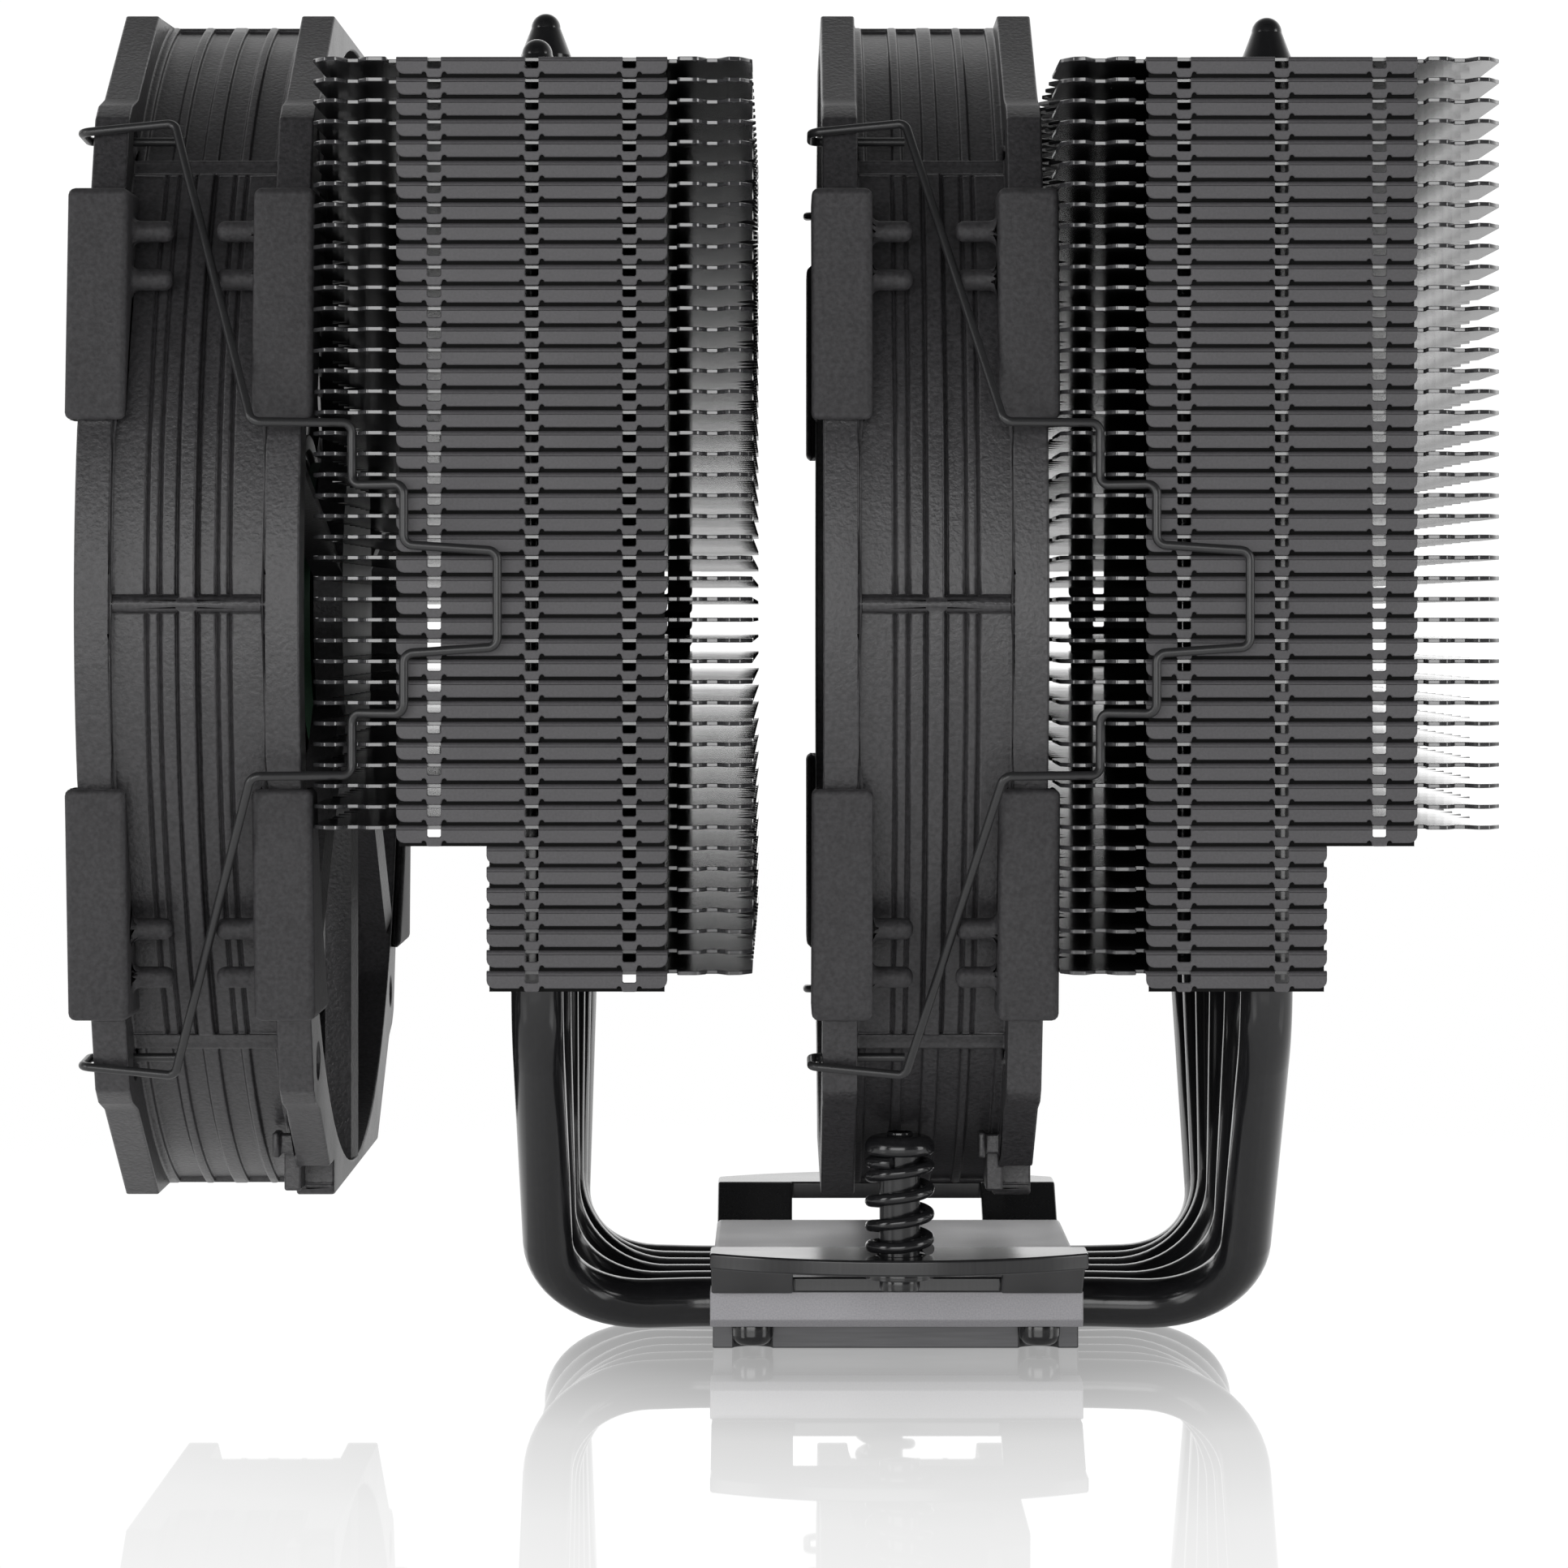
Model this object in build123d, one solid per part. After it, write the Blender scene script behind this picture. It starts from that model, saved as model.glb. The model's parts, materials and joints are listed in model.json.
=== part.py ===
from build123d import *
import os
from math import cos, radians, sin, sqrt

# Twin-tower air cooler for a processor, with two 140 mm fans. Millimetres.
# +X is the way the air flows, +Y is across the cooler, +Z is up from the processor.
# The origin is the centre of the contact face under the base.

# ---- towers of fins
TOWER_X = 41.5
TOWER_DEPTH = 48.8
TOWER_HALF_WIDTH = 75.0
FIN_COUNT = 45
SHORT_FIN_COUNT = 7
FIN_PITCH = 2.3
FIN_SHEET = 0.45
FIRST_TAB_Z = 47.8
TAB_HEIGHT = 2.0
TAB_HALF_LENGTH = 15.0
SHORT_FIN_OUTER_X = 46.5
RELIEF_WIDTH = 1.1
RELIEF_Y = 72.2
NOTCH_Y = 73.0

# ---- heat pipes
PIPE_R = 3.0
PIPE_HOLE_R = 3.05
PIPE_TOWER_X = 42.0
PIPE_TOWER_YS = [-52.5, -31.5, -10.5, 10.5, 31.5, 52.5]
PIPE_BASE_YS = [-15.5, -9.3, -3.1, 3.1, 9.3, 15.5]
PIPE_BASE_Z = 5.0
PIPE_LEAN_TOP_Z = 42.0
PIPE_FLARE = 1.24
PIPE_TURN_X = 24.5
PIPE_BEND_R = 14.0
PIPE_TIP_LENGTH = 5.0
PIPE_TIP_R = 1.75
FRONT_TIP_ZS = [155.5, 161.0, 157.0, 156.5, 160.0, 155.0]
REAR_TIP_ZS = [158.0, 156.0, 155.5, 157.0, 156.0, 157.5]

# ---- base
BASE_HALF_X = 22.25
BASE_HALF_Y = 20.0
BASE_TOP_Z = 10.8
GROOVE_R = 3.02
RAIL_HALF_X = 22.5
RAIL_OUTER_Y = 26.0
RAIL_Z0 = 3.3
RAIL_Z1 = 7.7
RAIL_BEVEL = 0.9
RAIL_SCREW_X = 17.4
RAIL_SCREW_Y = 22.3
RAIL_SCREW_R = 1.5
RAIL_SCREW_HEAD_R = 2.45
RAIL_SCREW_HEAD_Z0 = 0.8
SCREW_NOTCH_Y = 20.8
SCREW_NOTCH_R = 2.5

# ---- bracket
BRACKET_SHEET = 1.9
BRACKET_FOOT_Y0 = 20.3
BRACKET_FOOT_Y1 = 28.0
BRACKET_PLATE_Y0 = 34.5
BRACKET_PLATE_TOP_Z = 14.1
BRACKET_CORNER_Y = 40.0
BRACKET_BOW_Y = 47.0
BRACKET_HALF_X = 22.3
BRACKET_WINDOW_HALF_X = 12.5

# ---- spring screws
SCREW_Y = 41.5
SCREW_HEAD_R = 4.1
SCREW_HEAD_Z0 = 25.9
SCREW_HEAD_Z1 = 28.2
SCREW_CROWN_R = 1.5
SCREW_CROWN_Z = 28.6
SCREW_SHAFT_R = 2.375
SCREW_SHAFT_Z0 = 10.0
SCREW_THREAD_R = 1.35
SCREW_THREAD_LENGTH = 12.0
SCREW_HOLE_R = 2.6
GROOVE_SHAFT_R = 1.9
RING_R = 4.0
RING_INNER_R = 1.95
RING_Z0 = 11.4
RING_Z1 = 12.1
SPRING_R = 3.4
SPRING_WIRE_R = 0.7
SPRING_TURNS = 3.6

# ---- fans
FAN_XS = {"front": -79.7, "centre": 3.3}
FAN_Z = 90.4
FAN_HALF_DEPTH = 12.5
FLANGE_SHEET = 4.0
FLANGE_INNER = FAN_HALF_DEPTH - FLANGE_SHEET
FLANGE_R = 75.0
FLANGE_TOP = 70.4
DUCT_R = 69.3
BARREL_R = 72.2
BARREL_SIDE_R = 73.9
BARREL_LEDGE_Z = 49.3
BARREL_RIBS = [(-3.8, 1.1), (0.0, 1.8), (4.0, 1.0)]
ROOT_RIBS = [(-8.0, 1.0), (8.0, 1.0)]
SIDE_RIB_R = 74.8
END_RIB_R = 72.9
RIB_GROOVE = 0.35
RIB_GROOVE_R = 73.4
END_FLAT_HALF_Y = 18.6
TIE_BAR_R = 0.9
FAN_HOLE_OFFSET = 52.5
FAN_HOLE_R = 2.15
STRUT_COUNT = 7
STRUT_WIDTH = 3.0
MOTOR_DISC_R = 21.5
MOTOR_DISC_X = 9.0
SLEEVE_TUBE_R = 5.0
SLEEVE_R = 3.5
SLEEVE_BORE_R = 1.55
SLEEVE_X0 = -4.0
SHAFT_R = 1.5

# ---- impeller
BLADE_COUNT = 7
BLADE_R = 68.3
BLADE_SHEET = 1.8
HUB_R = 21.5
HUB_INNER_R = 19.6
HUB_X0 = -10.5
HUB_X1 = 6.5
YOKE_INNER_R = 18.7
MAGNET_INNER_R = 16.9
STATOR_R = 16.4
STATOR_POLES = 6
BOARD_R = 18.0
BOARD_X0 = 7.0
BOARD_X1 = 8.2

# ---- silicone pads on the fan flanges
PAD_PROUD = 1.3
PAD_LIP = 1.5
PAD_Z0 = 20.5
PAD_Z1 = 46.5
PAD_OUTER_Y0 = 73.5
PAD_OUTER_Y1 = 70.5
PAD_DUCT_R = 70.2
PEG_R = 1.2
PEG_REACH = 6.1
PEGS = [(67.2, 36.4), (66.2, 41.9)]

# ---- wire clips
CLIP_WIRE_R = 0.5
CLIP_BEND_R = 1.1
CLIP_Z = 90.97


def tube(r_outer, r_inner, x0, x1):
    """A ring about the X axis, from x0 to x1; a disc when r_inner is 0."""
    ring = Circle(r_outer)
    if r_inner > 0:
        ring -= Circle(r_inner)
    return extrude(Plane.YZ.offset(x0) * ring, x1 - x0)


def rod(r, x, y, z0, z1):
    """A round bar about a vertical line at x, y."""
    return extrude(Plane.XY.offset(z0) * Pos(x, y) * Circle(r), z1 - z0)


def block(x0, x1, y0, y1, z0, z1):
    """A box from its lowest corner to its highest."""
    return Pos((x0 + x1) / 2, (y0 + y1) / 2, (z0 + z1) / 2) * Box(x1 - x0, y1 - y0, z1 - z0)


def far_side(solid):
    """The same piece on the +Y side."""
    return mirror(solid, about=Plane.XZ)


def write(node, solids):
    """One STEP file for one node."""
    solids = solids if isinstance(solids, list) else [solids]
    pieces = [s for item in solids for s in item.solids()]
    shape = pieces[0] if len(pieces) == 1 else Compound(children=pieces)
    export_step(shape, f"parts/{node}.step")


# ---- towers

def fin_end(outer_lobe):
    """Half of a fin's end outline, from the middle outwards: tab, relief, lobe, wire notch, lobe."""
    w = TOWER_HALF_WIDTH
    root = TAB_HALF_LENGTH
    if not outer_lobe:
        return [(0, w), (SHORT_FIN_OUTER_X - TOWER_X, w)]
    return [
        (0, w),
        (root, w),
        (root, RELIEF_Y),
        (root + RELIEF_WIDTH, RELIEF_Y),
        (root + RELIEF_WIDTH, w - 0.3),
        (root + RELIEF_WIDTH + 0.3, w),
        (18.3, w),
        (19.3, w - 1.3),
        (19.3, NOTCH_Y),
        (20.6, NOTCH_Y),
        (20.7, NOTCH_Y + 0.3),
        (21.8, w),
        (23.0, w - 0.3),
        (TOWER_DEPTH / 2, w - 2.7),
    ]


def fin(tower_sign, short):
    """One fin: a flat sheet with six pipe holes and a tab folded down at each end."""
    inner_half = fin_end(True)
    outer_half = fin_end(not short)
    near = [(-tower_sign * o, -y) for o, y in reversed(inner_half)]
    near += [(tower_sign * o, -y) for o, y in outer_half[1:]]
    far = [(o, -y) for o, y in reversed(near)]
    centre = tower_sign * TOWER_X
    outline = [(centre + o, y) for o, y in near + far]
    sheet = make_face(Polyline(*outline, close=True))
    holes = [Pos(tower_sign * PIPE_TOWER_X, y) * Circle(PIPE_HOLE_R) for y in PIPE_TOWER_YS]
    solid = extrude(Plane.XY.offset(TAB_HEIGHT - FIN_SHEET) * (sheet - holes), FIN_SHEET)
    tab_out = SHORT_FIN_OUTER_X - TOWER_X if short else TAB_HALF_LENGTH
    x0, x1 = sorted([centre - tower_sign * TAB_HALF_LENGTH, centre + tower_sign * tab_out])
    y1 = TOWER_HALF_WIDTH
    tab = block(x0, x1, -y1, -y1 + FIN_SHEET, 0, TAB_HEIGHT)
    return solid + tab + far_side(tab)


def tower(tower_sign, first, count):
    """A stack of equal fins, counted from the lowest."""
    one = fin(tower_sign, short=first < SHORT_FIN_COUNT)
    return [Pos(0, 0, FIRST_TAB_Z + FIN_PITCH * (first + i)) * one for i in range(count)]


# ---- heat pipes

def pipe_tip(x, y, tip_z):
    """The closed end of a pipe: a short cone with a rounded nose."""
    z0 = tip_z - PIPE_TIP_LENGTH
    nose_z = tip_z - PIPE_TIP_R
    profile = Polyline((0, z0), (PIPE_R, z0), (PIPE_TIP_R, nose_z))
    nose = ThreePointArc(
        (PIPE_TIP_R, nose_z),
        (PIPE_TIP_R * sin(radians(45)), nose_z + PIPE_TIP_R * cos(radians(45))),
        (0, tip_z),
    )
    face = make_face(Curve() + [profile, nose, Line((0, tip_z), (0, z0))])
    return Pos(x, y, 0) * revolve(Plane.XZ * face, Axis.Z)


def heat_pipe(index):
    """One pipe: up from the base through both towers, as one U."""
    y_tower = PIPE_TOWER_YS[index]
    y_base = PIPE_BASE_YS[index]
    y_corner = y_base * PIPE_FLARE
    x = PIPE_TOWER_X
    points = [
        (-x, y_tower, FRONT_TIP_ZS[index] - PIPE_TIP_LENGTH),
        (-x, y_tower, PIPE_LEAN_TOP_Z),
        (-x, y_corner, PIPE_BASE_Z),
        (-PIPE_TURN_X, y_base, PIPE_BASE_Z),
        (PIPE_TURN_X, y_base, PIPE_BASE_Z),
        (x, y_corner, PIPE_BASE_Z),
        (x, y_tower, PIPE_LEAN_TOP_Z),
        (x, y_tower, REAR_TIP_ZS[index] - PIPE_TIP_LENGTH),
    ]
    path = FilletPolyline(*points, radius=PIPE_BEND_R)
    body = sweep(Plane(path @ 0, z_dir=path % 0) * Circle(PIPE_R), path=path)
    return body + pipe_tip(-x, y_tower, FRONT_TIP_ZS[index]) + pipe_tip(x, y_tower, REAR_TIP_ZS[index])


# ---- base

def pipe_grooves():
    """The round channels for the pipes where they cross the base."""
    length = 2 * BASE_HALF_X + 2
    bars = [Pos(-length / 2, y, PIPE_BASE_Z) for y in PIPE_BASE_YS]
    return [bar * extrude(Plane.YZ * Circle(GROOVE_R), length) for bar in bars]


def base_plate():
    """The contact plate: grooved above, with notches for the heads of the rail screws."""
    plate = block(-BASE_HALF_X, BASE_HALF_X, -BASE_HALF_Y, BASE_HALF_Y, 0, PIPE_BASE_Z)
    notches = [
        rod(SCREW_NOTCH_R, sx * RAIL_SCREW_X, sy * SCREW_NOTCH_Y, -1, RAIL_Z0 + 0.1)
        for sx in (-1, 1)
        for sy in (-1, 1)
    ]
    return plate - notches - pipe_grooves()


def base_top_block():
    """The clamping block over the pipes, with softened upper edges."""
    solid = block(-BASE_HALF_X, BASE_HALF_X, -BASE_HALF_Y, BASE_HALF_Y, PIPE_BASE_Z, BASE_TOP_Z)
    solid = chamfer(solid.faces().sort_by(Axis.Z)[-1].edges(), 0.4)
    return solid - pipe_grooves()


def near_rail():
    """The bar along the -Y side of the base that the bracket stands on."""
    solid = block(-RAIL_HALF_X, RAIL_HALF_X, -RAIL_OUTER_Y, -BASE_HALF_Y, RAIL_Z0, RAIL_Z1)
    lower_outer = solid.edges().filter_by(Axis.X).sort_by(lambda e: e.center().Y + e.center().Z)[0]
    solid = chamfer(lower_outer, RAIL_BEVEL)
    holes = [rod(RAIL_SCREW_R + 0.1, sx * RAIL_SCREW_X, -RAIL_SCREW_Y, 0, 10) for sx in (-1, 1)]
    return solid - holes


def near_bracket():
    """The cranked sheet bracket: foot, two slanting legs with a window between them, bowed plate."""
    foot_z = RAIL_Z1
    plate_z = BRACKET_PLATE_TOP_Z - BRACKET_SHEET
    y0, y1, y2 = -BRACKET_FOOT_Y0, -BRACKET_FOOT_Y1, -BRACKET_PLATE_Y0
    y3 = -BRACKET_BOW_Y - 1
    section = [
        (y0, foot_z),
        (y1, foot_z),
        (y2, plate_z),
        (y3, plate_z),
        (y3, plate_z + BRACKET_SHEET),
        (y2 + 0.7, plate_z + BRACKET_SHEET),
        (y1 + 0.7, foot_z + BRACKET_SHEET),
        (y0, foot_z + BRACKET_SHEET),
    ]
    profile = make_face(Polyline(*section, close=True))
    solid = extrude(Plane.YZ.offset(-BRACKET_HALF_X) * profile, 2 * BRACKET_HALF_X)
    bow = ThreePointArc(
        (-BRACKET_HALF_X, -BRACKET_CORNER_Y), (0, -BRACKET_BOW_Y), (BRACKET_HALF_X, -BRACKET_CORNER_Y)
    )
    sides = Polyline(
        (BRACKET_HALF_X, -BRACKET_CORNER_Y), (BRACKET_HALF_X, 0), (-BRACKET_HALF_X, 0),
        (-BRACKET_HALF_X, -BRACKET_CORNER_Y),
    )
    solid &= extrude(make_face(Curve() + [bow, sides]), 30)
    half_window = BRACKET_WINDOW_HALF_X
    solid -= block(-half_window, half_window, -BRACKET_PLATE_Y0 + 0.6, -BRACKET_FOOT_Y1 + 0.8, 0, 30)
    solid -= rod(SCREW_HOLE_R, 0, -SCREW_Y, 0, 30)
    for sx in (-1, 1):
        solid -= rod(RAIL_SCREW_R, sx * RAIL_SCREW_X, -RAIL_SCREW_Y, 0, 30)
    return solid


def near_rail_screws():
    """Two screws, heads down, that hold the rail and the bracket's foot together."""
    screws = []
    for sx in (-1, 1):
        x = sx * RAIL_SCREW_X
        y = -RAIL_SCREW_Y
        screw = rod(RAIL_SCREW_HEAD_R, x, y, RAIL_SCREW_HEAD_Z0, RAIL_Z0)
        screw = fillet(screw.faces().sort_by(Axis.Z)[0].edges(), 1.3)
        screw += rod(RAIL_SCREW_R, x, y, RAIL_Z0, RAIL_Z1 + BRACKET_SHEET)
        screw -= block(x - 1.1, x + 1.1, y - 0.35, y + 0.35, 0, RAIL_SCREW_HEAD_Z0 + 0.9)
        screw -= block(x - 0.35, x + 0.35, y - 1.1, y + 1.1, 0, RAIL_SCREW_HEAD_Z0 + 0.9)
        screws.append(screw)
    return screws


# ---- spring screws

def spring_screw():
    """The captive screw of a bracket: round head with a slotted crown, shaft, bore from below."""
    head = rod(SCREW_HEAD_R, 0, 0, SCREW_HEAD_Z0, SCREW_HEAD_Z1)
    head = fillet(head.faces().sort_by(Axis.Z)[-1].edges(), 1.4)
    head = fillet(head.faces().sort_by(Axis.Z)[0].edges(), 0.7)
    head += rod(SCREW_CROWN_R, 0, 0, SCREW_HEAD_Z1 - 0.2, SCREW_CROWN_Z)
    head -= block(-1.2, 1.2, -0.35, 0.35, SCREW_HEAD_Z1 - 1.2, 40)
    head -= block(-0.35, 0.35, -1.2, 1.2, SCREW_HEAD_Z1 - 1.2, 40)
    shaft = rod(SCREW_SHAFT_R, 0, 0, SCREW_SHAFT_Z0, SCREW_HEAD_Z0)
    groove = rod(SCREW_SHAFT_R + 1, 0, 0, RING_Z0 - 0.1, RING_Z1 + 0.1)
    groove -= rod(GROOVE_SHAFT_R, 0, 0, 0, 40)
    bore = rod(SCREW_THREAD_R, 0, 0, 0, SCREW_SHAFT_Z0 + SCREW_THREAD_LENGTH)
    return head + shaft - groove - bore


def retaining_ring():
    """The split ring that keeps the screw in the bracket."""
    ring = rod(RING_R, 0, 0, RING_Z0, RING_Z1) - rod(RING_INNER_R, 0, 0, 0, 40)
    return ring - block(-0.9, 0.9, 0, RING_R + 1, 0, 40)


def pressure_spring():
    """The coil spring between the bracket and the screw's head."""
    z0 = BRACKET_PLATE_TOP_Z + SPRING_WIRE_R
    z1 = SCREW_HEAD_Z0 - SPRING_WIRE_R
    helix = Helix(pitch=(z1 - z0) / SPRING_TURNS, height=z1 - z0, radius=SPRING_R)
    section = Plane(helix @ 0, z_dir=helix % 0) * Circle(SPRING_WIRE_R)
    return Pos(0, 0, z0) * sweep(section, path=helix, is_frenet=True)


# ---- fan frame

def flange_quarter():
    """Outline points of one quarter of a fan flange, from the side to the top, as (y, z)."""
    return [
        (71.7, 21.0),
        (69.0, 46.0),
        (61.2, 47.2),
        (57.8, 55.5),
        (55.3, 57.2),
        (50.1, 58.5),
        (31.1, FLANGE_TOP),
    ]


def flange_face():
    """The outline of a flange: round at the sides, flat above and below, an ear at each corner."""
    side_y = 72.4
    side_z = sqrt(FLANGE_R**2 - side_y**2)
    quarter = flange_quarter()
    right = [(side_y, side_z)] + quarter
    left = [(-y, z) for y, z in reversed(right)]
    top = Polyline(*(right + left))
    bottom = Polyline(*[(y, -z) for y, z in right + left])
    right_arc = ThreePointArc((side_y, side_z), (FLANGE_R, 0), (side_y, -side_z))
    left_arc = ThreePointArc((-side_y, side_z), (-FLANGE_R, 0), (-side_y, -side_z))
    return make_face(Curve() + [top, bottom, right_arc, left_arc])


def flange(x0):
    """One flange plate, with its duct opening, screw holes and the holes for the pads' pegs."""
    holes = [Circle(DUCT_R)]
    for sy in (-1, 1):
        for sz in (-1, 1):
            holes.append(Pos(sy * FAN_HOLE_OFFSET, sz * FAN_HOLE_OFFSET) * Circle(FAN_HOLE_R))
            holes += [Pos(sy * y, sz * z) * Circle(PEG_R) for y, z in PEGS]
    return extrude(Plane.YZ.offset(x0) * (flange_face() - holes), FLANGE_SHEET)


def rings(ribs, radius):
    """Narrow rings about the duct, one for each (place, width)."""
    solids = [tube(radius, DUCT_R, x - width / 2, x + width / 2) for x, width in ribs]
    return solids[0] + solids[1:]


def side_band():
    """The thick part of the duct wall at the sides, with grooves beside its ribs."""
    band = tube(BARREL_SIDE_R, DUCT_R, -FLANGE_INNER, FLANGE_INNER)
    for x, width in BARREL_RIBS:
        for side in (-1, 1):
            x0 = x + side * (width + RIB_GROOVE) / 2 - RIB_GROOVE / 2
            band -= tube(BARREL_SIDE_R + 1, RIB_GROOVE_R, x0, x0 + RIB_GROOVE)
    band += rings([BARREL_RIBS[1]], SIDE_RIB_R)
    return band & block(-20, 20, -80, 80, -BARREL_LEDGE_Z, BARREL_LEDGE_Z)


def ledge():
    """The bevelled bar where the side band ends, at the upper far side."""
    z = BARREL_LEDGE_Z
    outer = [(55.3, z), (54.2, z + 1.1), (54.1, z + 1.7)]
    section = Polyline((50.5, z - 1.0), *outer, (50.5, z + 1.7), close=True)
    return extrude(Plane.YZ.offset(-FLANGE_INNER) * make_face(section), 2 * FLANGE_INNER)


def end_flat():
    """The flat that closes the top of the barrel between the flanges."""
    flat = block(-FLANGE_INNER, FLANGE_INNER, -END_FLAT_HALF_Y, END_FLAT_HALF_Y, 66.0, FLANGE_TOP)
    return flat - tube(DUCT_R, 0, -FLANGE_INNER - 1, FLANGE_INNER + 1)


def barrel():
    """The duct wall between the flanges: ribbed, thick at the sides, flat above and below."""
    wall = tube(BARREL_R, DUCT_R, -FAN_HALF_DEPTH, FAN_HALF_DEPTH)
    wall += rings(BARREL_RIBS + ROOT_RIBS, END_RIB_R)
    wall &= block(-20, 20, -80, 80, -FLANGE_TOP, FLANGE_TOP)
    flat = end_flat()
    corner = ledge()
    pair = [corner, mirror(corner, about=Plane.XZ)]
    ledges = pair + [mirror(p, about=Plane.XY) for p in pair]
    bar = tube(TIE_BAR_R, 0, -FLANGE_INNER, FLANGE_INNER)
    bars = [Pos(0, sy * (FLANGE_R - TIE_BAR_R), 0) * bar for sy in (-1, 1)]
    return wall + side_band() + flat + mirror(flat, about=Plane.XY) + ledges + bars


def lead_guide():
    """The hook, leg and roll at the lower near corner of the outlet side that guide the fan's lead."""
    hook = block(6.0, 6.8, -41.0, -37.5, -65.0, -62.0)
    arm = block(6.8, FLANGE_INNER + 0.5, -40.0, -38.0, -64.6, -62.3)
    leg = block(7.0, FLANGE_INNER + 0.5, -37.0, -31.0, -69.3, -64.0)
    roll = Pos(0, -31.8, -69.4) * tube(0.9, 0, 8.0, FAN_HALF_DEPTH)
    return hook + arm + leg + roll


def fan_frame():
    """The moulded housing of a fan: two flanges and the barrel between them."""
    outlet = flange(FLANGE_INNER) - block(FLANGE_INNER, 20, -39.0, -32.5, -72, -66.3)
    return barrel() + flange(-FAN_HALF_DEPTH) + outlet + lead_guide()


def motor_mount():
    """The disc behind the motor, its bearing tube and the struts that carry it across the duct."""
    solid = tube(MOTOR_DISC_R, 0, MOTOR_DISC_X, FAN_HALF_DEPTH)
    solid += tube(SLEEVE_TUBE_R, SLEEVE_R, SLEEVE_X0, MOTOR_DISC_X)
    reach = (MOTOR_DISC_R + DUCT_R) / 2
    for i in range(STRUT_COUNT):
        turn = 360 * (i + 0.5) / STRUT_COUNT
        arm = Pos((FLANGE_INNER + FAN_HALF_DEPTH) / 2, 0, reach)
        arm *= Rot(0, 0, 12) * Box(FLANGE_SHEET - 0.6, STRUT_WIDTH, DUCT_R - MOTOR_DISC_R + 1)
        solid += Rot(turn, 0, 0) * arm
    for i in range(3):
        post = Pos(BOARD_X1, 0, 14) * tube(1.0, 0, 0, MOTOR_DISC_X - BOARD_X1)
        solid += Rot(120 * i, 0, 0) * post
    return solid & tube(DUCT_R, 0, -20, 20)


# ---- fan motor and impeller

def blade():
    """One twisted blade, trimmed to the impeller's radius."""
    stations = [(HUB_R - 1.5, 23.0, 40.0), (37.0, 30.0, 31.0), (54.0, 38.0, 24.0), (71.0, 46.0, 19.0)]
    sections = []
    for radius, chord, pitch in stations:
        plane = Plane(origin=(-1.4, 0, radius), x_dir=(0, 1, 0), z_dir=(0, 0, 1))
        sections.append(plane * Rot(0, 0, pitch) * RectangleRounded(chord, BLADE_SHEET, BLADE_SHEET * 0.45))
    solid = loft(sections)
    return solid & tube(BLADE_R, HUB_INNER_R + 0.5, -FAN_HALF_DEPTH, FLANGE_INNER - 1)


def impeller():
    """The hub cup with its blades and the boss that holds the shaft."""
    hub = tube(HUB_R, 0, HUB_X0, HUB_X1) - tube(HUB_INNER_R, 0, HUB_X0 + 1.7, HUB_X1 + 1)
    hub = fillet(hub.faces().sort_by(Axis.X)[0].edges(), 1.2)
    hub += tube(3.5, 0, HUB_X0 + 1.7, HUB_X0 + 5)
    hub -= tube(SHAFT_R, 0, HUB_X0 + 1, HUB_X1)
    one = blade()
    for i in range(BLADE_COUNT):
        hub += Rot(360 * i / BLADE_COUNT, 0, 0) * one
    return hub


def rotor_yoke():
    """The steel cup inside the hub."""
    x0 = HUB_X0 + 1.7
    cup = tube(HUB_INNER_R, 0, x0, HUB_X1 - 0.7) - tube(YOKE_INNER_R, 0, x0 + 0.9, HUB_X1)
    return cup - tube(3.6, 0, x0 - 1, x0 + 2)


def stator_core():
    """The laminated core: a ring on the bearing tube, with poles that end in shoes."""
    x0, x1 = -2.5, 3.5
    solid = tube(8.0, SLEEVE_TUBE_R, x0, x1)
    shoes = tube(STATOR_R, STATOR_R - 1.9, x0, x1)
    for i in range(STATOR_POLES):
        turn = 360 * i / STATOR_POLES
        solid += Rot(turn, 0, 0) * block(x0, x1, -1.6, 1.6, 7.0, STATOR_R - 1.0)
        shoes -= Rot(turn + 180 / STATOR_POLES, 0, 0) * block(-10, 10, -1.3, 1.3, 10, 20)
    return solid + shoes


def coils():
    """One winding round each pole."""
    one = block(-4.2, 5.2, -3.0, 3.0, 8.8, 13.8) - block(-2.5, 3.5, -1.6, 1.6, 8, 15)
    return [Rot(360 * i / STATOR_POLES, 0, 0) * one for i in range(STATOR_POLES)]


def fan_nodes():
    """Every piece of a fan but its pads, about its own centre."""
    return {
        "frame": fan_frame(),
        "motor_mount": motor_mount(),
        "impeller": impeller(),
        "rotor_yoke": rotor_yoke(),
        "magnet_ring": tube(YOKE_INNER_R, MAGNET_INNER_R, -6.5, 5.0),
        "shaft": tube(SHAFT_R, 0, HUB_X0 + 1, MOTOR_DISC_X - 0.5),
        "hub_cap": tube(16.0, 0, HUB_X0 - 0.4, HUB_X0),
        "bearing_sleeve": tube(SLEEVE_R, SLEEVE_BORE_R, SLEEVE_X0, MOTOR_DISC_X),
        "stator_core": stator_core(),
        "coils": coils(),
        "circuit_board": tube(BOARD_R, SLEEVE_TUBE_R, BOARD_X0, BOARD_X1),
    }


# ---- pads

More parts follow.
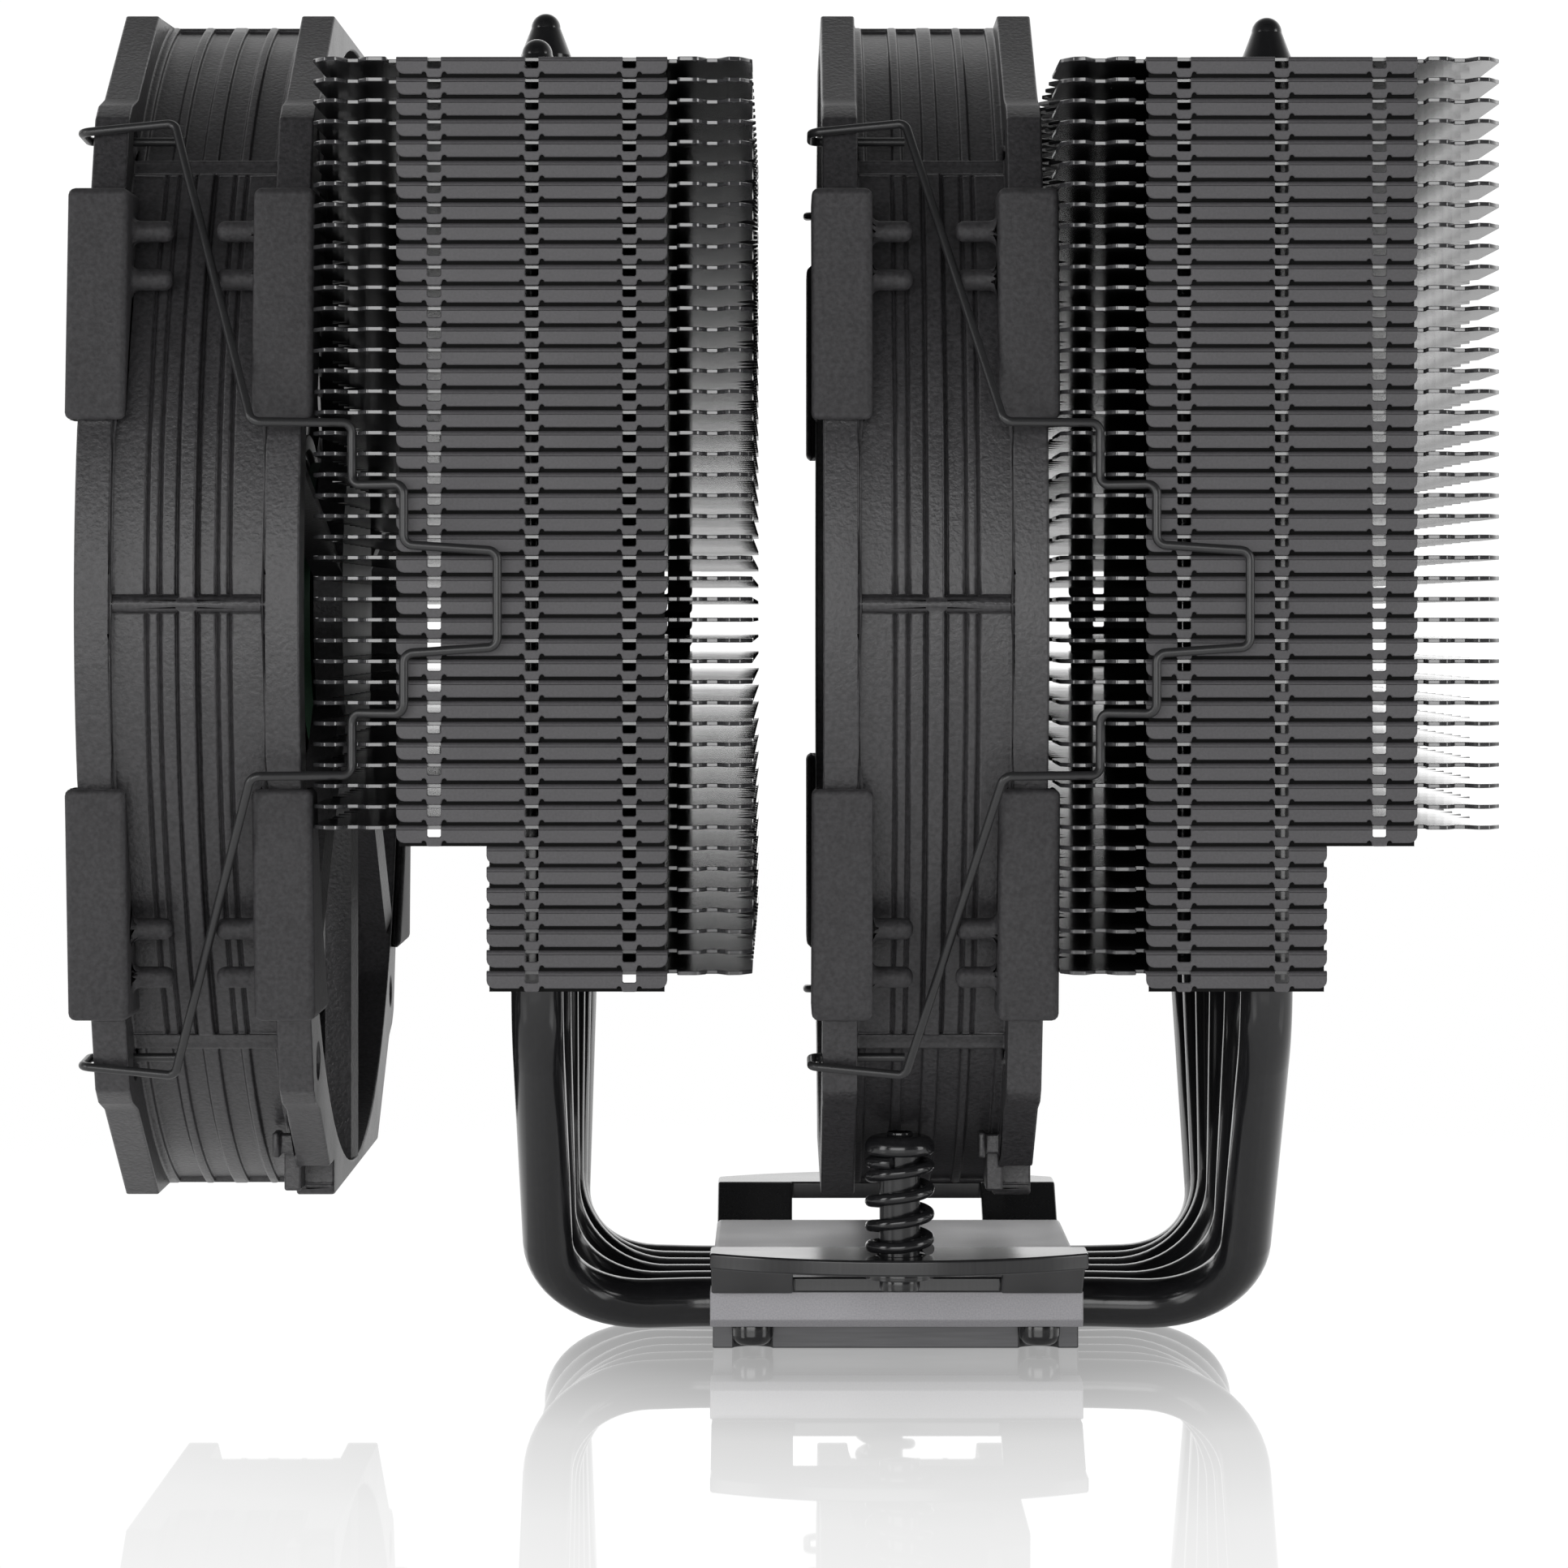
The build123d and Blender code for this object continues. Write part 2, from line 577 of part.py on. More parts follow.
def pad():
    """One pad of the outlet flange at its upper far corner: face, rim and lip, with two pegs."""
    outline = Polyline(
        (50.0, PAD_Z1), (PAD_OUTER_Y1, PAD_Z1), (PAD_OUTER_Y0, PAD_Z0), (50.0, PAD_Z0), close=True
    )
    area = make_face(outline)
    face = extrude(Plane.YZ.offset(FLANGE_INNER) * (area - Circle(PAD_DUCT_R)), FLANGE_SHEET + PAD_PROUD)
    lip_x = FLANGE_INNER - PAD_LIP
    lip = extrude(Plane.YZ.offset(lip_x) * (area - Circle(SIDE_RIB_R + 0.2)), PAD_LIP)
    solid = face + lip - extrude(Plane.YZ.offset(FLANGE_INNER) * flange_face(), FLANGE_SHEET)
    for y, z in PEGS:
        peg = tube(PEG_R, 0, FLANGE_INNER - PEG_REACH, FAN_HALF_DEPTH)
        peg = fillet(peg.faces().sort_by(Axis.X)[0].edges(), 1.0)
        solid += Pos(0, y, z) * peg
    return solid


def pads():
    """The four pads of the outlet flange."""
    one = pad()
    pair = [one, mirror(one, about=Plane.XZ)]
    return pair + [mirror(p, about=Plane.XY) for p in pair]


# ---- wire clips

def near_clip():
    """The wire clip on the -Y side of a fan, measured from the fan's centre line."""
    upper = [
        (-3.0, -52.5, 52.7),
        (-13.75, -52.5, 52.7),
        (-13.75, -59.6, 53.1),
        (-3.1, -60.0, 54.1),
        (7.35, -77.0, 19.55),
        (18.2, -73.6, 19.55),
        (18.2, -73.6, 12.65),
        (24.2, -77.0, 12.65),
        (24.2, -77.0, 6.0),
        (34.5, -77.0, 5.3),
    ]
    lower = [(x, y, -z) for x, y, z in reversed(upper)]
    path = FilletPolyline(*(upper + lower), radius=CLIP_BEND_R)
    wire = sweep(Plane(path @ 0, z_dir=path % 0) * Circle(CLIP_WIRE_R), path=path)
    return Pos(0, 0, CLIP_Z) * wire


def write_everything():
    os.makedirs("parts", exist_ok=True)
    for name, sign in (("front", -1), ("rear", 1)):
        long_count = FIN_COUNT - SHORT_FIN_COUNT
        write(f"{name}_tower_lower_fins", tower(sign, 0, SHORT_FIN_COUNT))
        write(f"{name}_tower_upper_fins", tower(sign, SHORT_FIN_COUNT, long_count))
    for index in range(len(PIPE_TOWER_YS)):
        write(f"heat_pipe_{index + 1}", heat_pipe(index))
    write("base_plate", base_plate())
    write("base_top_block", base_top_block())
    side_pieces = {
        "base_rail": [near_rail()],
        "bracket": [near_bracket()],
        "rail_screws": near_rail_screws(),
    }
    for piece, solids in side_pieces.items():
        write(f"near_{piece}", solids)
        write(f"far_{piece}", [far_side(s) for s in solids])
    captive = {
        "spring_screw": spring_screw(),
        "pressure_spring": pressure_spring(),
        "retaining_ring": retaining_ring(),
    }
    for piece, solid in captive.items():
        write(f"near_{piece}", Pos(0, -SCREW_Y, 0) * solid)
        write(f"far_{piece}", Pos(0, SCREW_Y, 0) * solid)
    motor = fan_nodes()
    outlet_pads = pads()
    clip = near_clip()
    for fan, x in FAN_XS.items():
        place = Pos(x, 0, FAN_Z)
        for piece, solids in motor.items():
            solids = solids if isinstance(solids, list) else [solids]
            write(f"{fan}_fan_{piece}", [place * s for s in solids])
        write(f"{fan}_fan_outlet_pads", [place * p for p in outlet_pads])
        write(f"{fan}_fan_inlet_pads", [place * mirror(p, about=Plane.YZ) for p in outlet_pads])
        write(f"{fan}_fan_near_clip", Pos(x, 0, 0) * clip)
        write(f"{fan}_fan_far_clip", Pos(x, 0, 0) * far_side(clip))


write_everything()
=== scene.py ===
import json
from math import cos, radians, sin, tau

import bmesh
import bpy
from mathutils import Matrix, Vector


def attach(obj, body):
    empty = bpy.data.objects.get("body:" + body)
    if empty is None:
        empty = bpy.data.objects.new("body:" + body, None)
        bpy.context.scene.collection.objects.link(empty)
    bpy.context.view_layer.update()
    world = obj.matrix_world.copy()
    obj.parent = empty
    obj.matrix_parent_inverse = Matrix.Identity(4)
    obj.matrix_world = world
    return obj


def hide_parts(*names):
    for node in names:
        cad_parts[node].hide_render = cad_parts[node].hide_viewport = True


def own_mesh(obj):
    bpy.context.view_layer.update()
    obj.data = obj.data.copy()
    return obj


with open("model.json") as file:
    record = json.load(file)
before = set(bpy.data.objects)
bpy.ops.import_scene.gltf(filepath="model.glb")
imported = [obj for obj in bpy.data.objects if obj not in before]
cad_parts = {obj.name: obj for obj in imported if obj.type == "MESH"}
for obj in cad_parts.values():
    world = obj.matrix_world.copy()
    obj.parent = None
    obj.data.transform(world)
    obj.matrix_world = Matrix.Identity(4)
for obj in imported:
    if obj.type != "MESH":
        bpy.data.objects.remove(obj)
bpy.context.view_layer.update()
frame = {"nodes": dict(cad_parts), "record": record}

MM = 0.001
NODES = frame["nodes"]

# ---- the object's sizes that the new pieces need, in millimetres
TOWER_X = 41.5
TOWER_DEPTH = 48.8
TOWER_HALF_WIDTH = 75.0
FIN_COUNT = 45
SHORT_FIN_COUNT = 7
FIN_PITCH = 2.3
FIN_SHEET = 0.45
FIN_SHEET_ROUND = 0.06
FIRST_TAB_Z = 47.8
TAB_HEIGHT = 2.0
TAB_HALF_LENGTH = 15.0
TAB_BEND = 0.45
TAB_FOOT = 0.08
TAB_CORNER_R = 0.9
TAB_ROUND = 0.09
SHORT_FIN_REACH = 5.0
RELIEF_Y = 72.2
RELIEF_OUTER = 16.1
WIRE_NOTCH_Y = 73.0
END_CHAMFER = 2.7
WINDOW_STEP = 10.8
WINDOW_HALF = 0.75
WINDOW_FLOOR = 0.72
WINDOW_CORNER = 0.15
WINDOW_DEPTH = 1.1
WINDOW_MARGIN = 2
TONGUE = [(-1.42, TAB_FOOT), (-1.32, 0.26), (-1.13, 0.34), (-0.94, 0.26), (-0.84, 0.05),
          (-0.8, -0.18), (-0.62, -0.3)]
# strips behind the gaps between tabs, coloured near black as painted shade
BACK_SHEET = 0.2
BACK_FOOT = -0.3
BACK_TOP = 0.5
BACK_INSET = 0.3
TOOTH_PITCH = 7.5
TOOTH_DEPTH = 2.0
TEETH = 15
PIPE_TOWER_X = 42.0
PIPE_TOWER_YS = [-52.5, -31.5, -10.5, 10.5, 31.5, 52.5]
PIPE_HOLE_R = 3.05
SPRING_Z0 = 14.1
SPRING_Z1 = 25.9
SPRING_R = 3.4
SPRING_WIRE_R = 0.7
SPRING_TURNS = 4.7
SPRING_CLOSED_TURNS = 0.75
SPRING_END_RISE = 0.55
SPRING_STEPS = 40
SCREW_Y = 41.5

# ---- how far each CAD node's edges are rounded as shown, in millimetres
FAN_EDGES = {"frame": 0.3, "outlet_pads": 0.8, "inlet_pads": 0.8, "impeller": 0.2}
BASE_EDGES = {
    "base_plate": 0.15,
    "base_top_block": 0.15,
    "near_base_rail": 0.15,
    "far_base_rail": 0.15,
    "near_bracket": 0.3,
    "far_bracket": 0.3,
    "near_rail_screws": 0.1,
    "far_rail_screws": 0.1,
    "near_spring_screw": 0.12,
    "far_spring_screw": 0.12,
    "near_retaining_ring": 0.08,
    "far_retaining_ring": 0.08,
}
WELD_CAD = 0.002
WELD_NEW = 0.004
FLAT_ANGLE = 0.6

# ---- camera, floor and light, in metres and watts, the sensor and lens in millimetres
CAMERA_PLACE = (-0.01358, -0.623, 0.089)
CAMERA_SENSOR = 36
CAMERA_LENS = 113.74
CAMERA_SHIFT_Y = -0.1066
FLOOR_SIZE = 2.6
MIRROR_ROUGHNESS = 0.02
MIRROR_REACH = 0.25
MIRROR_SHARE = 0.78
MIRROR_FADE = [(0.18, 0.6), (0.36, 0.3), (0.56, 0.16), (0.8, 0.08)]
BACK_GLOW = 1.5
SIDE_GLOW = 0.5
FRONT_GLOW = 0.08
BACKDROP_GLOW = 1.05
LIGHT_TARGET = (0, 0, 0.085)
LIGHTS = [
    ("front_softbox", (-0.25, -1.5, 0.12), (1.3, 0.8), 14),
    ("left_strip", (-0.8, -0.5, 0.12), (0.3, 0.7), 3),
    ("right_strip", (0.8, -0.3, 0.12), (0.3, 0.7), 2.5),
]


# ---- camera

def add_camera():
    """A level camera close in front of the -Y side, a little above the middle of the cooler."""
    data = bpy.data.cameras.new("camera")
    camera = bpy.data.objects.new("camera", data)
    bpy.context.scene.collection.objects.link(camera)
    camera.location = CAMERA_PLACE
    camera.rotation_euler = (radians(90), 0, 0)
    data.sensor_width = CAMERA_SENSOR
    data.lens = CAMERA_LENS
    data.shift_y = CAMERA_SHIFT_Y
    data.clip_start = 0.05
    data.clip_end = 50
    bpy.context.scene.camera = camera


# ---- materials

def new_material(name):
    """A node material with its shader and object coordinates."""
    material = bpy.data.materials.new(name)
    material.use_nodes = True
    nodes = material.node_tree.nodes
    shader = nodes["Principled BSDF"]
    coords = nodes.new("ShaderNodeTexCoord")
    return material, shader, coords.outputs["Object"]


def noise(tree, vector, size_mm, stretch=(1, 1, 1), detail=3.0):
    """Noise whose grains are about size_mm across, drawn out along an axis by a small stretch."""
    mapping = tree.nodes.new("ShaderNodeMapping")
    mapping.inputs["Scale"].default_value = stretch
    texture = tree.nodes.new("ShaderNodeTexNoise")
    texture.inputs["Scale"].default_value = 1 / (size_mm * MM)
    texture.inputs["Detail"].default_value = detail
    tree.links.new(vector, mapping.inputs["Vector"])
    tree.links.new(mapping.outputs["Vector"], texture.inputs["Vector"])
    return texture.outputs["Fac"]


def spread(tree, value, low, high, from_low=0.3, from_high=0.7):
    """The value mapped from its usual span to low..high."""
    node = tree.nodes.new("ShaderNodeMapRange")
    node.inputs["From Min"].default_value = from_low
    node.inputs["From Max"].default_value = from_high
    node.inputs["To Min"].default_value = low
    node.inputs["To Max"].default_value = high
    tree.links.new(value, node.inputs["Value"])
    return node.outputs["Result"]


def grained(name, colour, roughness, grain_mm=0.25, bump=0.25, mottle=0.12, metallic=0.0,
            specular=0.5, stretch=(1, 1, 1), height_mm=0.03, patch_mm=12.0):
    """A surface with a fine grain in its bump, colour and gloss, and slow patches over it."""
    material, shader, coords = new_material(name)
    tree = material.node_tree
    fine = noise(tree, coords, grain_mm, stretch)
    patch = noise(tree, coords, patch_mm)
    mix = tree.nodes.new("ShaderNodeMix")
    mix.data_type = "RGBA"
    mix.inputs["A"].default_value = (*[c * (1 - mottle) for c in colour], 1)
    mix.inputs["B"].default_value = (*[c * (1 + mottle) for c in colour], 1)
    tree.links.new(spread(tree, fine, 0, 1), mix.inputs["Factor"])
    tree.links.new(mix.outputs["Result"], shader.inputs["Base Color"])
    rough = spread(tree, patch, roughness * 0.92, min(1, roughness * 1.08))
    tree.links.new(rough, shader.inputs["Roughness"])
    shader.inputs["Metallic"].default_value = metallic
    shader.inputs["Specular IOR Level"].default_value = specular
    relief = tree.nodes.new("ShaderNodeBump")
    relief.inputs["Strength"].default_value = bump
    relief.inputs["Distance"].default_value = height_mm * MM
    tree.links.new(fine, relief.inputs["Height"])
    tree.links.new(relief.outputs["Normal"], shader.inputs["Normal"])
    return material


def make_materials():
    """Every finish of the cooler, by the record's slot; the fins' sheets have their own, and the backs
    behind the tab gaps get a near-black coat that is painted shade.
    """
    brushed_x = (0.04, 1, 1)
    brushed_z = (1, 1, 0.04)
    return {
        "fins": grained("fin_tab_coat", (0.066, 0.064, 0.068), 0.5, grain_mm=0.3, bump=0.5,
                        specular=0.4),
        "fin_sheets": grained("fin_sheet_coat", (0.035, 0.035, 0.037), 0.12, grain_mm=0.5, bump=0.03,
                              specular=1.0),
        # painted shade: a near-black coat for the strips behind the gaps between tabs
        "painted_shade_backs": grained("painted_shade_coat", (0.005, 0.005, 0.005), 0.8, grain_mm=0.3, bump=0.1,
                             specular=0.1),
        "pipes": grained("pipe_coat", (0.012, 0.012, 0.013), 0.16, grain_mm=0.8, bump=0.04),
        "contact_plate": grained("plated_copper", (0.045, 0.045, 0.047), 0.3, grain_mm=0.3, bump=0.15,
                                 metallic=0.6, stretch=brushed_x),
        "base_block": grained("satin_block", (0.29, 0.285, 0.30), 0.4, grain_mm=0.2, bump=0.3,
                              metallic=0.2),
        "bracket": grained("bracket_coat", (0.018, 0.018, 0.019), 0.22, grain_mm=0.4, bump=0.12,
                           stretch=brushed_z),
        "screws": grained("screw_coat", (0.012, 0.012, 0.013), 0.18, grain_mm=0.5, bump=0.05),
        "springs": grained("spring_coat", (0.012, 0.012, 0.013), 0.16, grain_mm=0.5, bump=0.05),
        "clips": grained("wire_coat", (0.02, 0.02, 0.021), 0.36, grain_mm=0.3, bump=0.08),
        "pads": grained("silicone", (0.032, 0.031, 0.033), 0.62, grain_mm=0.5, bump=0.8, specular=0.35,
                        mottle=0.3, height_mm=0.08),
        "fan_frame": grained("frame_plastic", (0.032, 0.031, 0.033), 0.4, grain_mm=0.5, bump=0.9,
                             mottle=0.35, height_mm=0.08),
        "impeller": grained("impeller_plastic", (0.02, 0.02, 0.021), 0.36, grain_mm=0.35, bump=0.15),
        "hub_cap": grained("hub_cap_plastic", (0.03, 0.03, 0.032), 0.5, grain_mm=0.3, bump=0.15),
        "motor_steel": grained("steel", (0.45, 0.45, 0.46), 0.35, grain_mm=0.2, bump=0.1, metallic=1.0),
        "magnet": grained("ferrite", (0.03, 0.03, 0.03), 0.7, grain_mm=0.3, bump=0.3),
        "bearing": grained("bronze", (0.5, 0.34, 0.16), 0.4, grain_mm=0.2, bump=0.2, metallic=1.0),
        "winding": grained("copper_wire", (0.55, 0.24, 0.11), 0.32, grain_mm=0.3, bump=0.5,
                           metallic=0.9, stretch=(0.1, 1, 1)),
        "board": grained("board", (0.02, 0.09, 0.04), 0.45, grain_mm=0.4, bump=0.15),
    }


def dress(obj, material):
    """One material on the whole object."""
    obj.data.materials.clear()
    obj.data.materials.append(material)


# ---- CAD nodes that stay: softened edges

def soften(node, width, angle=32, segments=3):
    """Rounds a CAD node's edges as it is shown; its own mesh stays as it is."""
    obj = NODES[node]
    weld = obj.modifiers.new("weld", "WELD")
    weld.merge_threshold = WELD_CAD * MM
    flat = obj.modifiers.new("flat", "DECIMATE")
    flat.decimate_type = "DISSOLVE"
    flat.angle_limit = radians(FLAT_ANGLE)
    bevel = obj.modifiers.new("bevel", "BEVEL")
    bevel.width = width * MM
    bevel.segments = segments
    bevel.limit_method = "ANGLE"
    bevel.angle_limit = radians(angle)
    bevel.use_clamp_overlap = False
    bevel.harden_normals = False
    weighted = obj.modifiers.new("weighted", "WEIGHTED_NORMAL")
    weighted.keep_sharp = False
    obj.data.shade_smooth()


# ---- mesh helpers: a shape is a list of points, in millimetres, and a list of faces

def flat_mesh(loops, thickness, bevel):
    """A flat plate from closed outlines, holes included, centred on its thickness."""
    curve = bpy.data.curves.new("outline", "CURVE")
    curve.dimensions = "2D"
    curve.fill_mode = "BOTH"
    curve.extrude = thickness / 2 - bevel
    curve.bevel_depth = bevel
    curve.bevel_resolution = 0
    curve.offset = -bevel
    for loop in loops:
        spline = curve.splines.new("POLY")
        spline.points.add(len(loop) - 1)
        for point, (x, y) in zip(spline.points, loop):
            point.co = (x, y, 0, 1)
        spline.use_cyclic_u = True
    obj = bpy.data.objects.new("outline", curve)
    bpy.context.scene.collection.objects.link(obj)
    mesh = bpy.data.meshes.new_from_object(obj.evaluated_get(bpy.context.evaluated_depsgraph_get()))
    shape = [[tuple(v.co) for v in mesh.vertices], [tuple(p.vertices) for p in mesh.polygons]]
    bpy.data.objects.remove(obj)
    bpy.data.curves.remove(curve)
    bpy.data.meshes.remove(mesh)
    return shape


def moved(shape, place):
    """The shape with every point passed through place."""
    return [[place(*v) for v in shape[0]], shape[1]]


def joined(shapes):
    """Several shapes as one list of points and faces."""
    points, faces = [], []
    for verts, polys in shapes:
        start = len(points)
        points += verts
        faces += [tuple(i + start for i in poly) for poly in polys]
    return [points, faces]


def prism(section, x0, x1):
    """A section of (y, z) points drawn out along X."""
    count = len(section)
    points = [(x, y, z) for x in (x0, x1) for y, z in section]
    faces = [(i, (i + 1) % count, count + (i + 1) % count, count + i) for i in range(count)]
    faces += [tuple(range(count))[::-1], tuple(range(count, 2 * count))]
    return [points, faces]


def piece(name, shape, body, material, replaces=(), sharp=40):
    """A new object from points and faces: welded, shaded by angle and tied to the frame."""
    mesh = bpy.data.meshes.new(name)
    mesh.from_pydata([(x * MM, y * MM, z * MM) for x, y, z in shape[0]], [], shape[1])
    work = bmesh.new()
    work.from_mesh(mesh)
    bmesh.ops.remove_doubles(work, verts=work.verts, dist=WELD_NEW * MM)
    bmesh.ops.recalc_face_normals(work, faces=work.faces)
    work.to_mesh(mesh)
    work.free()
    mesh.shade_smooth()
    mesh.set_sharp_from_angle(angle=radians(sharp))
    obj = bpy.data.objects.new(name, mesh)
    bpy.context.scene.collection.objects.link(obj)
    dress(obj, material)
    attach(obj, body)
    if replaces:
        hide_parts(*replaces)
    return obj


# ---- fins

def tab_windows(reach):
    """Offsets of the windows that a tab of this reach holds."""
    return [c for c in (-WINDOW_STEP, 0.0, WINDOW_STEP) if c < reach - WINDOW_MARGIN]


def fin_end(reach):
    """The end of a fin's sheet from its inner side to its outer side, as (offset, y)."""
    w = TOWER_HALF_WIDTH
    bend = w - TAB_BEND
    relief = [(TAB_HALF_LENGTH, bend), (TAB_HALF_LENGTH, RELIEF_Y + 0.3), (15.1, RELIEF_Y + 0.05),
              (15.4, RELIEF_Y), (16.0, RELIEF_Y + 0.05), (RELIEF_OUTER, RELIEF_Y + 0.3)]
    first_lobe = [(RELIEF_OUTER, w - 0.4), (16.22, w - 0.12), (16.5, w), (18.1, w), (18.35, w - 0.12),
                  (19.25, w - 1.3), (19.3, w - 1.5)]
    wire_notch = [(19.3, WIRE_NOTCH_Y + 0.1), (19.4, WIRE_NOTCH_Y), (20.5, WIRE_NOTCH_Y),
                  (20.7, WIRE_NOTCH_Y + 0.25)]
    last_lobe = [(21.65, w - 0.15), (21.9, w), (22.9, w - 0.3), (23.1, w - 0.4),
                 (TOWER_DEPTH / 2, w - END_CHAMFER)]
    lobes = relief + first_lobe + wire_notch + last_lobe
    inner = [(-o, y) for o, y in reversed(lobes)]
    notches = []
    for c in tab_windows(reach):
        notches += [(c - WINDOW_HALF, bend), (c - WINDOW_HALF, w - WINDOW_DEPTH)]
        notches += [(c + WINDOW_HALF, w - WINDOW_DEPTH), (c + WINDOW_HALF, bend)]
    outer = lobes if reach >= TAB_HALF_LENGTH else [(reach, bend)]
    return inner + notches + outer


def long_edge(offset, tooth):
    """The serrated edge of a fin, from +Y to -Y."""
    points = []
    for i in range(TEETH):
        y = (TEETH / 2 - i) * TOOTH_PITCH
        points += [(offset, y), (offset - tooth, y - TOOTH_PITCH / 2)]
    return points + [(offset, -TEETH / 2 * TOOTH_PITCH)]


def circle(x, y, r, count=24):
    """A hole's outline."""
    return [(x + r * cos(tau * i / count), y + r * sin(tau * i / count)) for i in range(count)]


def fin_sheet(sign, reach):
    """The flat sheet with its pipe holes, at the top of its fin."""
    far = fin_end(reach)
    outer_edge = TOWER_DEPTH / 2 if reach >= TAB_HALF_LENGTH else reach
    near = [(o, -y) for o, y in reversed(far)]
    inner_edge = [(o, -y) for o, y in long_edge(-TOWER_DEPTH / 2, -TOOTH_DEPTH)]
    outline = far + long_edge(outer_edge, TOOTH_DEPTH) + near + inner_edge
    centre = sign * TOWER_X
    loops = [[(centre + sign * o, y) for o, y in outline]]
    loops += [circle(sign * PIPE_TOWER_X, y, PIPE_HOLE_R) for y in PIPE_TOWER_YS]
    sheet = flat_mesh(loops, FIN_SHEET, FIN_SHEET_ROUND)
    return moved(sheet, lambda x, y, z: (x, y, z + TAB_HEIGHT - FIN_SHEET / 2))


def corner(x, z, r, start):
    """A rounded corner's points about its centre, over a quarter turn from start degrees."""
    turns = [radians(start + 90 * i / 4) for i in range(5)]
    return [(x + r * cos(t), z + r * sin(t)) for t in turns]


def tab_outline(low, high, windows):
    """The face of a folded tab: round lower corners, windows open above, tongues and reliefs below."""
    top = TAB_HEIGHT - TAB_BEND
    r = TAB_CORNER_R
    points = [(low, top)] + corner(low + r, r + TAB_FOOT, r, 180)
    for c in windows:
        points += [(c + x, z) for x, z in TONGUE]
        points += [(c - x, z) for x, z in reversed(TONGUE)]
    points += corner(high - r, r + TAB_FOOT, r, 270) + [(high, top)]
    h, cut = WINDOW_HALF, WINDOW_CORNER
    for c in reversed(windows):
        points += [(c + h, top), (c + h, WINDOW_FLOOR + cut), (c + h - cut, WINDOW_FLOOR)]
        points += [(c - h + cut, WINDOW_FLOOR), (c - h, WINDOW_FLOOR + cut), (c - h, top)]
    return points


def fin_tab(sign, reach):
    """The folded tab at the -Y end, with the rounded bend that joins it to the sheet."""
    windows = tab_windows(reach)
    centre = sign * TOWER_X
    y = -TOWER_HALF_WIDTH
    face = flat_mesh([tab_outline(-TAB_HALF_LENGTH, reach, windows)], FIN_SHEET, TAB_ROUND)
    parts = [moved(face, lambda o, z, d: (centre + sign * o, y + FIN_SHEET / 2 + d, z))]
    turns = [radians(180 - 90 * i / 5) for i in range(6)]
    top = TAB_HEIGHT - TAB_BEND
    bend = [(y + TAB_BEND + TAB_BEND * cos(t), top + TAB_BEND * sin(t)) for t in turns]
    bend.append((y + TAB_BEND, top))
    stops = [-TAB_HALF_LENGTH]
    for c in windows:
        stops += [c - WINDOW_HALF, c + WINDOW_HALF]
    stops.append(reach)
    for a, b in zip(stops[::2], stops[1::2]):
        x0, x1 = sorted((centre + sign * a, centre + sign * b))
        parts.append(prism(bend, x0, x1))
    return joined(parts)


def painted_shade_backs(sign, reach):
    """The strips behind the gaps between tabs, where each fin stands on the next one's bend; their
    near-black coat is painted shade.
    """
    y0 = -TOWER_HALF_WIDTH + FIN_SHEET
    y1 = y0 + BACK_SHEET
    section = [(y0, BACK_FOOT), (y1, BACK_FOOT), (y1, BACK_TOP), (y0, BACK_TOP)]
    offsets = (-TAB_HALF_LENGTH + BACK_INSET, reach - BACK_INSET)
    near = prism(section, *sorted(sign * TOWER_X + sign * o for o in offsets))
    return joined([near, moved(near, lambda x, y, z: (x, -y, z))])


def fin(sign, reach):
    """The sheet of a fin, its two tabs and the strips behind them, dark as painted shade, with the
    tabs' foot at z 0.
    """
    near = fin_tab(sign, reach)
    far = moved(near, lambda x, y, z: (x, -y, z))
    return {
        "fin_sheets": fin_sheet(sign, reach),
        "fin_tabs": joined([near, far]),
        "painted_shade_backs": painted_shade_backs(sign, reach),
    }


def add_fins(materials):
    """The stacks of fins: sheets, tabs and backs apart, because their coats differ; the backs'
    near-black coat is painted shade.
    """
    for tower, sign in (("front", -1), ("rear", 1)):
        for part, first, count, reach in (
            ("lower", 0, SHORT_FIN_COUNT, SHORT_FIN_REACH),
            ("upper", SHORT_FIN_COUNT, FIN_COUNT - SHORT_FIN_COUNT, TAB_HALF_LENGTH),
        ):
            node = f"{tower}_tower_{part}_fins"
            for name, shape in fin(sign, reach).items():
                stack = []
                for i in range(first, first + count):
                    lift = FIRST_TAB_Z + FIN_PITCH * i
                    stack.append(moved(shape, lambda x, y, z: (x, y, z + lift)))
                finish = materials["fins" if name == "fin_tabs" else name]
                piece(f"{tower}_{part}_{name}", joined(stack), "root", finish, [node])


# ---- springs

def spring_path():
    """The centre line of a coil spring with closed ends, its foot at z 0."""
    height = SPRING_Z1 - SPRING_Z0 - 2 * SPRING_WIRE_R
    turns, closed, end_rise = SPRING_TURNS, SPRING_CLOSED_TURNS, SPRING_END_RISE
    points = []
    for i in range(int(turns * SPRING_STEPS) + 1):
        t = i / SPRING_STEPS
        share = min(max((t - closed) / (turns - 2 * closed), 0), 1)
        rise = end_rise * min(t, closed) / closed + end_rise * max(0, t - turns + closed) / closed
        z = rise + share * (height - 2 * end_rise)
        points.append((SPRING_R * cos(tau * t), SPRING_R * sin(tau * t), z + SPRING_WIRE_R))
    return points


